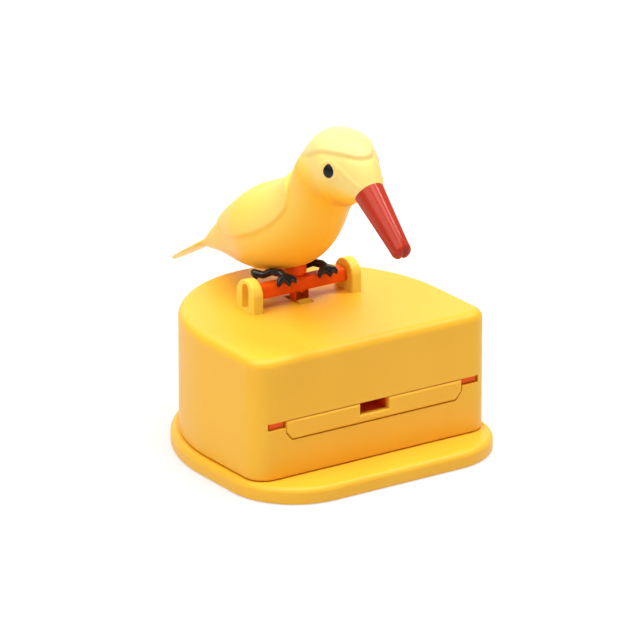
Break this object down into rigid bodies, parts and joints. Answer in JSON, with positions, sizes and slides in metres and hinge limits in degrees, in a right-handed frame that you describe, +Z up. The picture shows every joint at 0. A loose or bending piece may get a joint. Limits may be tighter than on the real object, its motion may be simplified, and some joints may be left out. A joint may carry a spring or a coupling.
{
  "type": "bird toothpick dispenser",
  "caption": "Desk toothpick dispenser: a bird on a perch bows when pushed and drives a drawer that offers one toothpick.",
  "frame": {"origin": "centre of the base plate's flat underside", "axes": "+Z up, -Y the way the drawer slides out and the beak points, +X the bird's left"},
  "size_m": [0.0976, 0.1367, 0.1117],
  "materials": {
    "yellow_plastic": "gloss",
    "bird_plastic": "satin",
    "red_plastic": "gloss",
    "beak_plastic": "gloss",
    "black_plastic": "gloss",
    "white_plastic": "satin",
    "steel": "satin"
  },
  "bodies": {
    "base": {"base_plate": "yellow_plastic"},
    "housing": {"housing_shell": "yellow_plastic", "left_bracket": "yellow_plastic", "right_bracket": "yellow_plastic", "toothpick_magazine": "red_plastic", "left_drawer_rail": "yellow_plastic", "right_drawer_rail": "yellow_plastic", "housing_screws": "steel", "mechanism_frame": "white_plastic", "idler_axle": "steel", "return_spring": "steel"},
    "drawer": {"drawer_front": "yellow_plastic", "drawer_tray": "red_plastic", "drive_rack": "white_plastic", "rack_screws": "steel"},
    "idler": {"idler_gear": "white_plastic"},
    "bird": {"perch_bar": "red_plastic", "drive_sector": "red_plastic", "sector_screw": "steel", "left_foot": "black_plastic", "right_foot": "black_plastic", "bird_body_left": "bird_plastic", "bird_body_right": "bird_plastic", "bird_tail": "bird_plastic", "bird_beak": "beak_plastic", "left_eye": "black_plastic", "right_eye": "black_plastic"}
  },
  "joints": [
    {"name": "housing_lift", "type": "slide", "parent": "base", "child": "housing", "axis": [0, 0, 1], "range_m": [0, 0.06]},
    {"name": "bird_bow", "type": "hinge", "parent": "housing", "child": "bird", "pos_m": [0, 0.0092, 0.0515], "axis": [1, 0, 0], "range_deg": [0, 50], "stiffness_Nm_per_rad": 0.02, "springref_deg": -40.11},
    {"name": "idler_spin", "type": "hinge", "parent": "housing", "child": "idler", "pos_m": [0, 0.0092, 0.0245], "axis": [1, 0, 0], "range_deg": [-221, 0]},
    {"name": "drawer_slide", "type": "slide", "parent": "housing", "child": "drawer", "axis": [0, -1, 0], "range_m": [0, 0.0193], "deforming": ["return_spring"]}
  ],
  "couplings": [
    {"joint": "idler_spin", "follows": "bird_bow", "ratio": -4.4},
    {"joint": "drawer_slide", "follows": "bird_bow", "m_per_rad": 0.022}
  ]
}
